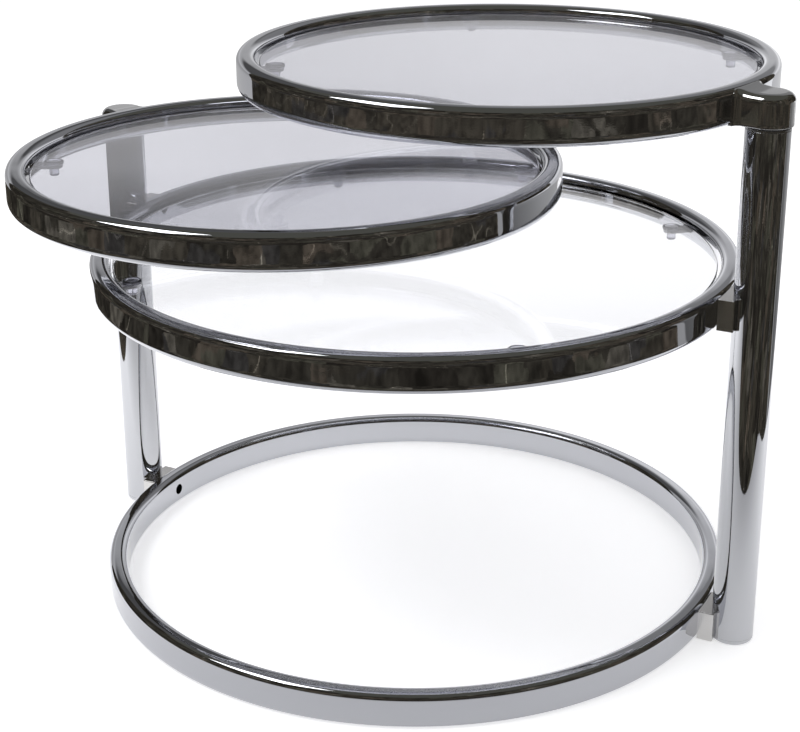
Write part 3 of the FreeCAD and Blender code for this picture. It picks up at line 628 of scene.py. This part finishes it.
def build_bumpers(name, radius, place, body):
    """Clear bumpers: a head with a shallow dish, a neck through the tab and a bead below it."""
    hole_x = radius - TUBE_DEPTH - TAB_INSET
    parts = []
    dish_low = GLASS_LOW - DISH_DEPTH
    outline = rounded([
        (0, STEM_LOW, 0), (STEM_BEAD, STEM_LOW, BEAD_LOW_ROUND), (STEM_BEAD, TAB_LOW, BEAD_TOP_ROUND),
        (STEM_RADIUS, TAB_LOW, 0), (STEM_RADIUS, TAB_HIGH, 0), (BUMPER_RADIUS, TAB_HIGH, BUMPER_ROUND),
        (BUMPER_RADIUS, GLASS_LOW, BUMPER_ROUND), (BUMPER_RADIUS * 0.72, GLASS_LOW, DISH_ROUND),
        (BUMPER_RADIUS * 0.62, dish_low, DISH_ROUND), (0, dish_low, 0),
    ], 4)
    for angle in SUPPORT_ANGLES:
        spot = Matrix.Rotation(angle, 4, "Z") @ Matrix.Translation((hole_x, 0, 0))
        parts.append(lathe(outline, BUMPER_SEGMENTS, spot))
    verts, faces = joined(*parts)
    add_piece(f"{name}_dished", verts, faces, CLEAR_PLASTIC, body, [name], place, sharp=50)


def build_post(side):
    """A tube with fine edges, standing on its plug."""
    name = f"{side}_post"
    low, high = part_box(name)
    outline = rounded([
        (POST_RADIUS, low.z, SEAM_ROUND), (POST_RADIUS, high.z, POST_RIM_ROUND),
        (POST_BORE, high.z, POST_BORE_ROUND), (POST_BORE, low.z, POST_BORE_ROUND),
    ], 4)
    verts, faces = lathe(outline, POST_SEGMENTS, post_axis(side))
    add_piece(f"{name}_polished", verts, faces, POST_CHROME, "root", [name])


def build_foot(side):
    """The post's closed foot: a turned plug with a well rounded sole, and its spigot up in the tube."""
    name = f"{side}_foot_plug"
    low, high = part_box(name)
    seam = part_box(f"{side}_post")[0].z
    outline = rounded([
        (0, low.z, 0), (POST_RADIUS, low.z, SOLE_ROUND), (POST_RADIUS, seam, SEAM_ROUND),
        (POST_BORE, seam, 0), (POST_BORE, high.z, SPIGOT_ROUND), (0, high.z, 0),
    ], 8)
    verts, faces = lathe(outline, POST_SEGMENTS, post_axis(side))
    add_piece(f"{name}_turned", verts, faces, POST_CHROME, "root", [name])


def hub_top(x, y):
    """Height of a hub's top over a point: level over the post, then a hollow rise to the ring's corner."""
    corner_x, corner_z = TRAY_RADIUS - TUBE_CORNER, TUBE_HEIGHT - TUBE_CORNER
    level = TUBE_HEIGHT - HUB_DROP
    apart = HUB_SWEEP + TUBE_CORNER
    rise = apart - HUB_DROP
    run = math.sqrt(apart ** 2 - rise ** 2)
    touch_x, touch_z = corner_x + run * TUBE_CORNER / apart, corner_z + rise * TUBE_CORNER / apart
    away = math.hypot(x, y)
    if away > corner_x + run:
        return level
    if away > touch_x:
        return level + HUB_SWEEP - math.sqrt(HUB_SWEEP ** 2 - (corner_x + run - away) ** 2)
    return touch_z - (touch_x - away)


def hub_profile(spine, out, width):
    """A hub's surface from the middle of its underside round its side to the middle of its top."""
    def at(across, height=None, below_top=0.0):
        """A point across from the spine, at a height or so far below the hub's top."""
        spot = spine + out * across
        if height is None:
            height = hub_top(*spot) - below_top
        return Vector((*spot, height))

    points = []
    for step in range(4):
        points.append(at((width - HUB_UNDER_EDGE * (1 + GUARD)) * step / 3, HUB_LIFT))
    for step in range(5):
        angle = math.pi / 2 * step / 4
        points.append(at(width - HUB_UNDER_EDGE * (1 - math.sin(angle)),
                         HUB_LIFT + HUB_UNDER_EDGE * (1 - math.cos(angle))))
    start = at(width, below_top=HUB_EDGE * (1 + GUARD))
    for step in range(1, 7):
        points.append(points[8].lerp(start, step / 6))
    for step in range(15):
        angle = math.pi / 2 * step / 14
        points.append(at(width - HUB_EDGE * (1 - math.cos(angle)),
                         below_top=HUB_EDGE * (1 - math.sin(angle))))
    for step in range(9):
        points.append(at((width - HUB_EDGE * (1 + GUARD)) * (1 - step / 8)))
    return points


def build_hub(side):
    """The cast hub: a round end over the post, flat sides that flare into the ring, and a top that sweeps
    up to the ring's corner."""
    name = f"{side}_hub"
    flare_x = -math.sqrt((TRAY_RADIUS + HUB_FLARE) ** 2 - (HUB_RADIUS + HUB_FLARE) ** 2)
    touch = TRAY_RADIUS / (TRAY_RADIUS + HUB_FLARE)
    bend_end = math.atan2(flare_x * (touch - 1), (HUB_RADIUS + HUB_FLARE) * (1 - touch))
    stations = [(-(TRAY_RADIUS - TUBE_CORNER), (HUB_RADIUS + HUB_FLARE) * touch)]
    for step in range(13):
        bend = bend_end * (1 - step / 12)
        stations.append((flare_x + HUB_FLARE * math.sin(bend), HUB_RADIUS + HUB_FLARE * (1 - math.cos(bend))))
    for step in range(1, 8):
        stations.append((flare_x + (-REACH - flare_x) * step / 8, HUB_RADIUS))
    side_out = Vector((0, 1))
    profiles = [hub_profile(Vector((x, 0)), side_out, width) for x, width in stations]
    for step in range(49):
        angle = math.pi / 2 + math.pi * step / 48
        out = Vector((math.cos(angle), math.sin(angle)))
        profiles.append(hub_profile(Vector((-REACH, 0)), out, HUB_RADIUS))
    profiles += [hub_profile(Vector((x, 0)), -side_out, width) for x, width in reversed(stations)]
    count = len(profiles[0])
    verts = [point for profile in profiles for point in profile]
    faces = []
    for column in range(len(profiles) - 1):
        for row in range(count - 1):
            first = column * count + row
            faces.append([first, first + count, first + count + 1, first + 1])
    last = (len(profiles) - 1) * count
    faces.append([*range(count), *range(last + count - 1, last - 1, -1)])
    add_piece(f"{name}_cast", verts, faces, CAST_CHROME, f"{side}_tray", [name],
              tray_place(side))


def finish_hidden():
    """The CAD pieces that show as they are, or hardly show, with their own materials."""
    for name, item in frame["nodes"].items():
        if item.hide_render:
            continue
        if name.endswith("_block"):
            material = BLOCK_CHROME
        elif name.endswith("_screws"):
            material = SCREW_STEEL
        elif name.endswith("_washer"):
            # painted shade: the washer is coloured near black for the shaded gap it sits in
            material = WASHER_NYLON_PAINTED_SHADE
        elif name.endswith("_bush"):
            material = NYLON
        else:
            material = PLAIN_STEEL
        for material_slot in item.material_slots:
            material_slot.material = material


ACCESS_HOLES = [(angle, TUBE_HEIGHT / 2, ACCESS_RADIUS) for angle in (0.0, math.pi)]
for name, seam in (("base_ring", -58), ("shelf_ring", 72.5)):
    build_ring(name, RING_RADIUS, level_place(name), "root", ACCESS_HOLES, math.radians(seam),
               FIXED_RING_SEGMENTS)
build_glass("shelf_glass", SHELF_GLASS_RADIUS, level_place("shelf_ring"), "root", SHELF_GLASS)
build_tabs("shelf_tabs", RING_RADIUS, level_place("shelf_ring"), "root")
build_bumpers("shelf_bumpers", RING_RADIUS, level_place("shelf_ring"), "root")
for side, seam in (("left", 140), ("right", -35.5)):
    tray, place = f"{side}_tray", tray_place(side)
    build_ring(f"{side}_tray_ring", TRAY_RADIUS, place, tray, [], math.radians(seam), TRAY_RING_SEGMENTS)
    build_glass(f"{side}_tray_glass", TRAY_GLASS_RADIUS, place, tray, TRAY_GLASS)
    build_tabs(f"{side}_tray_tabs", TRAY_RADIUS, place, tray)
    build_bumpers(f"{side}_tray_bumpers", TRAY_RADIUS, place, tray)
    build_post(side)
    build_foot(side)
    build_hub(side)
finish_hidden()


# The set: a white floor, and a dim room that only mirrored rays meet. Its places are in the view's own
# axes: x to the viewer's right, y away from the viewer, and z up.

VIEW_HEADING = Matrix.Rotation(VIEW_AZIMUTH, 4, "Z")
SHEET_HALF, SHEET_FRONT, SHEET_RIGHT = 0.60, -0.40, 0.655
SIDE_FLOOR_FRONT = -0.03
BACKDROP_HALF, BACKDROP_Y, BACKDROP_TOP, BACKDROP_LEAN = 1.3, 1.15, 2.4, 0.1
FLOOR_REACH = 30.0
UNDER_FLOOR = -0.0001
FLOOR_LIFT = 0.53
ROOM_REACH, ROOM_HEIGHT = 3.2, 3.0
ABOVE_FLOOR = 0.001


def emitter(name, colour=(1, 1, 1)):
    """A glowing material that is there only for rays off metal or a glass surface, also where they go on
    through glass. Returned with its tree, its shader and the socket of how much of it is there."""
    material = bpy.data.materials.new(name)
    material.use_nodes = True
    material.cycles.emission_sampling = "NONE"
    tree = material.node_tree
    tree.nodes.remove(tree.nodes["Principled BSDF"])
    shader = node(tree, "Emission", {"Color": [*colour, 1], "Strength": 1.0})
    mirrored = node(tree, "Math", {0: node(tree, "LightPath").outputs["Glossy Depth"], 1: 0.5},
                    operation="GREATER_THAN")
    share = node(tree, "Math", {0: mirrored.outputs["Value"], 1: 1.0}, operation="MULTIPLY")
    clear = node(tree, "BsdfTransparent")
    mixed = node(tree, "MixShader", {0: share.outputs["Value"], 1: clear.outputs["BSDF"],
                                     2: shader.outputs["Emission"]})
    tree.links.new(mixed.outputs["Shader"], tree.nodes["Material Output"].inputs["Surface"])
    return material, tree, shader, share.inputs[1]


def stage_mesh(name, verts, faces, material, shine_only=True):
    """A part of the set. The room's parts show only in reflections."""
    mesh = bpy.data.meshes.new(name)
    mesh.from_pydata([tuple(vert) for vert in verts], [], faces)
    mesh.materials.append(material)
    item = bpy.data.objects.new(name, mesh)
    item.matrix_world = VIEW_HEADING
    bpy.context.scene.collection.objects.link(item)
    if shine_only:
        item.visible_camera = False
        item.visible_diffuse = False
        item.visible_shadow = False


def seen_directly(tree):
    """One for rays from the camera, a shine or through glass, and nothing for rays that light the object."""
    path = node(tree, "LightPath")
    first = node(tree, "Math", {0: path.outputs["Is Camera Ray"], 1: path.outputs["Is Glossy Ray"]},
                 operation="MAXIMUM")
    return node(tree, "Math", {0: first.outputs["Value"], 1: path.outputs["Is Transmission Ray"]},
                operation="MAXIMUM").outputs["Value"]


def place_in_set(tree):
    """The x, y and z of a point of the set, in the view's axes."""
    return node(tree, "SeparateXYZ", {"Vector": node(tree, "TexCoord").outputs["Object"]}).outputs


def tone_ramp(tree, value, stops, interpolation="LINEAR"):
    """A colour ramp over a value, from (position, colour) stops."""
    ramp = node(tree, "ValToRGB", {"Fac": value})
    ramp.color_ramp.interpolation = interpolation
    for index, (start, colour) in enumerate(stops):
        stop = ramp.color_ramp.elements[index] if index < 2 else ramp.color_ramp.elements.new(start)
        stop.position = start
        stop.color = (*colour, 1)
    return ramp.outputs["Color"]


def grey_ramp(tree, value, stops):
    """A ramp of greys over a value, from (position, level) stops."""
    return tone_ramp(tree, value, [(start, [level] * 3) for start, level in stops])


def square(reach, height):
    """The corners of a level square about the set's middle."""
    return [(x * reach, y * reach, height) for x, y in ((-1, -1), (1, -1), (1, 1), (-1, 1))]


def build_floor():
    """The white floor, which shows at a strength of one and keeps the table's shadow."""
    material, tree, shader = new_material("pale_floor")
    shader.inputs["Base Color"].default_value = (0.86, 0.86, 0.88, 1)
    shader.inputs["Roughness"].default_value = 1.0
    shader.inputs["Specular IOR Level"].default_value = 0.0
    shader.inputs["Emission Color"].default_value = (1.0, 1.0, 1.0, 1)
    lift = node(tree, "Math", {0: seen_directly(tree), 1: FLOOR_LIFT}, operation="MULTIPLY")
    tree.links.new(lift.outputs["Value"], shader.inputs["Emission Strength"])
    stage_mesh("floor", square(FLOOR_REACH, UNDER_FLOOR), [[0, 1, 2, 3]], material, shine_only=False)


def room_pattern(tree, place, scale):
    """Dim, half blurred shapes of a cluttered studio: mostly near black, some brown and olive, and here and
    there a thin light line."""
    sway = node(tree, "TexNoise", {"Vector": place, "Scale": 1.4 * scale, "Detail": 2.0})
    swayed = node(tree, "VectorMath", {0: sway.outputs["Color"], 1: [0.55 / scale] * 3, 2: place},
                  operation="MULTIPLY_ADD")
    blocks = node(tree, "TexVoronoi", {"Vector": swayed.outputs["Vector"], "Scale": scale, "Randomness": 0.9},
                  distance="CHEBYCHEV")
    parts = node(tree, "SeparateColor", {"Color": blocks.outputs["Color"]})
    tones = tone_ramp(tree, parts.outputs["Red"], (
        (0.0, (0.042, 0.038, 0.030)), (0.30, (0.060, 0.053, 0.041)), (0.48, (0.028, 0.025, 0.020)),
        (0.60, (0.088, 0.073, 0.056)), (0.72, (0.074, 0.070, 0.053)), (0.84, (0.050, 0.047, 0.043)),
        (0.93, (0.112, 0.102, 0.083)),
    ), "CONSTANT")
    cloud = node(tree, "TexNoise", {"Vector": place, "Scale": 3.1 * scale, "Detail": 4.0})
    level = node(tree, "MapRange", {"Value": cloud.outputs["Fac"], "From Min": 0.35, "From Max": 0.65,
                                    "To Min": 0.55, "To Max": 1.45})
    contour = node(tree, "TexNoise", {"Vector": place, "Scale": 0.9 * scale, "Detail": 0.0})
    apart = node(tree, "Math", {0: contour.outputs["Fac"], 1: 0.47, 2: 0.006}, operation="COMPARE")
    lit = node(tree, "Math", {0: parts.outputs["Green"], 1: 0.62}, operation="GREATER_THAN")
    line = node(tree, "Math", {0: apart.outputs["Value"], 1: lit.outputs["Value"]}, operation="MULTIPLY")
    glow = node(tree, "Math", {0: line.outputs["Value"], 1: 4.0, 2: level.outputs["Result"]},
                operation="MULTIPLY_ADD")
    return tones, glow.outputs["Value"]


def build_room_floor():
    """The dim floor round the white sheet, in front of it and beside it."""
    dark, tree, shader, _ = emitter("room_floor")
    x, y, _ = place_in_set(tree)
    angle = node(tree, "Math", {0: y, 1: x}, operation="ARCTAN2")
    flat = node(tree, "CombineXYZ", {"X": x, "Y": y})
    away = node(tree, "VectorMath", {0: flat.outputs["Vector"]}, operation="LENGTH")
    turned = node(tree, "Math", {0: angle.outputs["Value"], 1: 7.0}, operation="MULTIPLY")
    spread = node(tree, "Math", {0: away.outputs["Value"], 1: 6.0}, operation="MULTIPLY")
    polar = node(tree, "CombineXYZ", {"X": turned.outputs["Value"], "Y": spread.outputs["Value"]})
    colour, glow = room_pattern(tree, polar.outputs["Vector"], 1.0)
    tree.links.new(colour, shader.inputs["Color"])
    tree.links.new(glow, shader.inputs["Strength"])
    edge = [(SHEET_RIGHT, SIDE_FLOOR_FRONT), (0.62, -0.27), (0.60, -0.34), (0.56, -0.385),
            (0.50, SHEET_FRONT), (-0.50, SHEET_FRONT),
            (-0.56, -0.385), (-0.59, -0.34), (-SHEET_HALF, -0.27), (-SHEET_HALF, BACKDROP_Y)]
    outline = [(-BACKDROP_HALF, BACKDROP_Y), (-BACKDROP_HALF, ROOM_REACH), (-ROOM_REACH, ROOM_REACH),
               (-ROOM_REACH, -ROOM_REACH), (ROOM_REACH, -ROOM_REACH), (ROOM_REACH, SIDE_FLOOR_FRONT), *edge]
    corners = [(*point, ABOVE_FLOOR) for point in outline]
    stage_mesh("room_floor", corners, [list(range(len(corners)))], dark)

    side, tree, shader, _ = emitter("side_floor")
    _, y, _ = place_in_set(tree)
    share = node(tree, "MapRange", {"Value": y, "From Min": SIDE_FLOOR_FRONT, "From Max": BACKDROP_Y})
    pale = grey_ramp(tree, share.outputs["Result"], (
        (0.0, 0.42), (0.05, 0.42), (0.06, 0.14), (0.17, 0.19), (0.62, 0.40), (1.0, 0.47)))
    tree.links.new(pale, shader.inputs["Color"])
    corners = [(SHEET_RIGHT, SIDE_FLOOR_FRONT, ABOVE_FLOOR), (ROOM_REACH, SIDE_FLOOR_FRONT, ABOVE_FLOOR),
               (ROOM_REACH, BACKDROP_Y, ABOVE_FLOOR), (SHEET_RIGHT, BACKDROP_Y, ABOVE_FLOOR)]
    stage_mesh("side_floor", corners, [[0, 1, 2, 3]], side)

    shade, tree, shader, share = emitter("sheet_shade", (0.30, 0.30, 0.31))
    _, y, _ = place_in_set(tree)
    fade = node(tree, "MapRange", {"Value": y, "From Min": SHEET_FRONT, "From Max": -0.02,
                                   "To Min": 0.74, "To Max": 0.0})
    tree.links.new(fade.outputs["Result"], share)
    corners = [(*point, ABOVE_FLOOR) for point in [*edge, (SHEET_RIGHT, BACKDROP_Y)]]
    stage_mesh("sheet_shade", corners, [list(range(len(corners)))], shade)


def build_room():
    """The room's walls and ceiling, and the white backdrop behind the table, bright at its foot."""
    wall, tree, shader, _ = emitter("room_wall")
    squared = node(tree, "Mapping", {"Vector": node(tree, "TexCoord").outputs["Object"],
                                     "Scale": (1.0, 1.0, 0.4)})
    colour, glow = room_pattern(tree, squared.outputs["Vector"], 2.2)
    tree.links.new(colour, shader.inputs["Color"])
    tree.links.new(glow, shader.inputs["Strength"])
    steps = 48
    verts, faces = [], []
    for step in range(steps + 1):
        angle = math.tau * step / steps
        spot = Vector((ROOM_REACH * math.cos(angle), ROOM_REACH * math.sin(angle), 0))
        verts += [spot, spot + Vector((0, 0, ROOM_HEIGHT))]
        if step:
            faces.append([2 * step - 2, 2 * step, 2 * step + 1, 2 * step - 1])
    stage_mesh("room_wall", verts, faces, wall)

    ceiling = emitter("room_ceiling", (0.105, 0.105, 0.09))[0]
    stage_mesh("room_ceiling", square(ROOM_REACH + 1, ROOM_HEIGHT), [[0, 1, 2, 3]], ceiling)

    back, tree, shader, _ = emitter("backdrop", (0.985, 0.985, 1.0))
    x, _, z = place_in_set(tree)
    height = node(tree, "MapRange", {"Value": z, "From Max": 2.0}).outputs["Result"]
    left = grey_ramp(tree, height, (
        (0.0, 0.60), (0.175, 0.42), (0.24, 0.45), (0.275, 0.66), (0.31, 0.52), (0.34, 0.45), (0.36, 0.26),
        (0.38, 0.09), (0.60, 0.11)))
    right = grey_ramp(tree, height, (
        (0.0, 0.70), (0.15, 0.70), (0.23, 1.0), (0.27, 1.0), (0.30, 0.70), (0.33, 0.62), (0.362, 0.46),
        (0.38, 0.28), (0.60, 0.28)))
    side = node(tree, "MapRange", {"Value": x, "From Min": -0.25, "From Max": 0.15})
    level = node(tree, "Mix", {"Factor": side.outputs["Result"], "A": left, "B": right}, data_type="RGBA")
    tree.links.new(level.outputs["Result"], shader.inputs["Strength"])
    top_y = BACKDROP_Y + BACKDROP_LEAN
    corners = [(-BACKDROP_HALF, BACKDROP_Y, 0), (BACKDROP_HALF, BACKDROP_Y, 0),
               (BACKDROP_HALF, top_y, BACKDROP_TOP), (-BACKDROP_HALF, top_y, BACKDROP_TOP)]
    stage_mesh("backdrop", corners, [[0, 1, 2, 3]], back)


def build_world():
    """A white world, dimmer for the rays that light the object."""
    world = bpy.data.worlds.new("studio")
    bpy.context.scene.world = world
    world.use_nodes = True
    tree = world.node_tree
    background = tree.nodes["Background"]
    background.inputs["Color"].default_value = (1, 1, 1, 1)
    level = node(tree, "MapRange", {"Value": seen_directly(tree), "To Min": 0.55, "To Max": 1.0})
    tree.links.new(level.outputs["Result"], background.inputs["Strength"])


def area_lamp(name, place, width, height, power, target, in_shine=False):
    """A white lamp aimed at a target, which shiny pieces mirror only if it is said."""
    lamp = bpy.data.lights.new(name, "AREA")
    lamp.shape = "RECTANGLE"
    lamp.size, lamp.size_y = width, height
    lamp.energy = power
    item = bpy.data.objects.new(name, lamp)
    bpy.context.scene.collection.objects.link(item)
    item.location = place
    item.rotation_euler = (Vector(target) - Vector(place)).to_track_quat("-Z", "Y").to_euler()
    item.visible_glossy = in_shine
    item.visible_camera = False


def build_camera():
    """The camera of the photograph, its middle shifted to where the photo's lens axis is."""
    camera = bpy.data.cameras.new("photo_camera")
    item = bpy.data.objects.new("photo_camera", camera)
    bpy.context.scene.collection.objects.link(item)
    out = Vector((math.sin(VIEW_AZIMUTH) * math.cos(VIEW_ELEVATION),
                  -math.cos(VIEW_AZIMUTH) * math.cos(VIEW_ELEVATION), math.sin(VIEW_ELEVATION)))
    item.location = VIEW_TARGET + VIEW_DISTANCE * out
    item.rotation_euler = (-out).to_track_quat("-Z", "Y").to_euler()
    camera.sensor_width = SENSOR_WIDTH_MM
    camera.sensor_fit = "HORIZONTAL"
    camera.lens = FOCAL_PIXELS * SENSOR_WIDTH_MM / PHOTO_WIDTH
    camera.shift_x = (PHOTO_WIDTH / 2 - AXIS_PIXEL_X) / PHOTO_WIDTH
    camera.shift_y = (AXIS_PIXEL_Y - PHOTO_HEIGHT / 2) / PHOTO_WIDTH
    camera.clip_start = 0.01
    bpy.context.scene.camera = item


build_floor()
build_room_floor()
build_room()
build_world()
area_lamp("softbox", (-1.144, -1.195, 2.356), 1.4, 1.0, 22.0, (0, 0, 0.35), in_shine=True)
area_lamp("overhead", (0.3, 0.4, 2.8), 2.4, 2.4, 16.0, (0, 0, 0.2))
build_camera()

bpy.context.scene.view_settings.view_transform = "Standard"
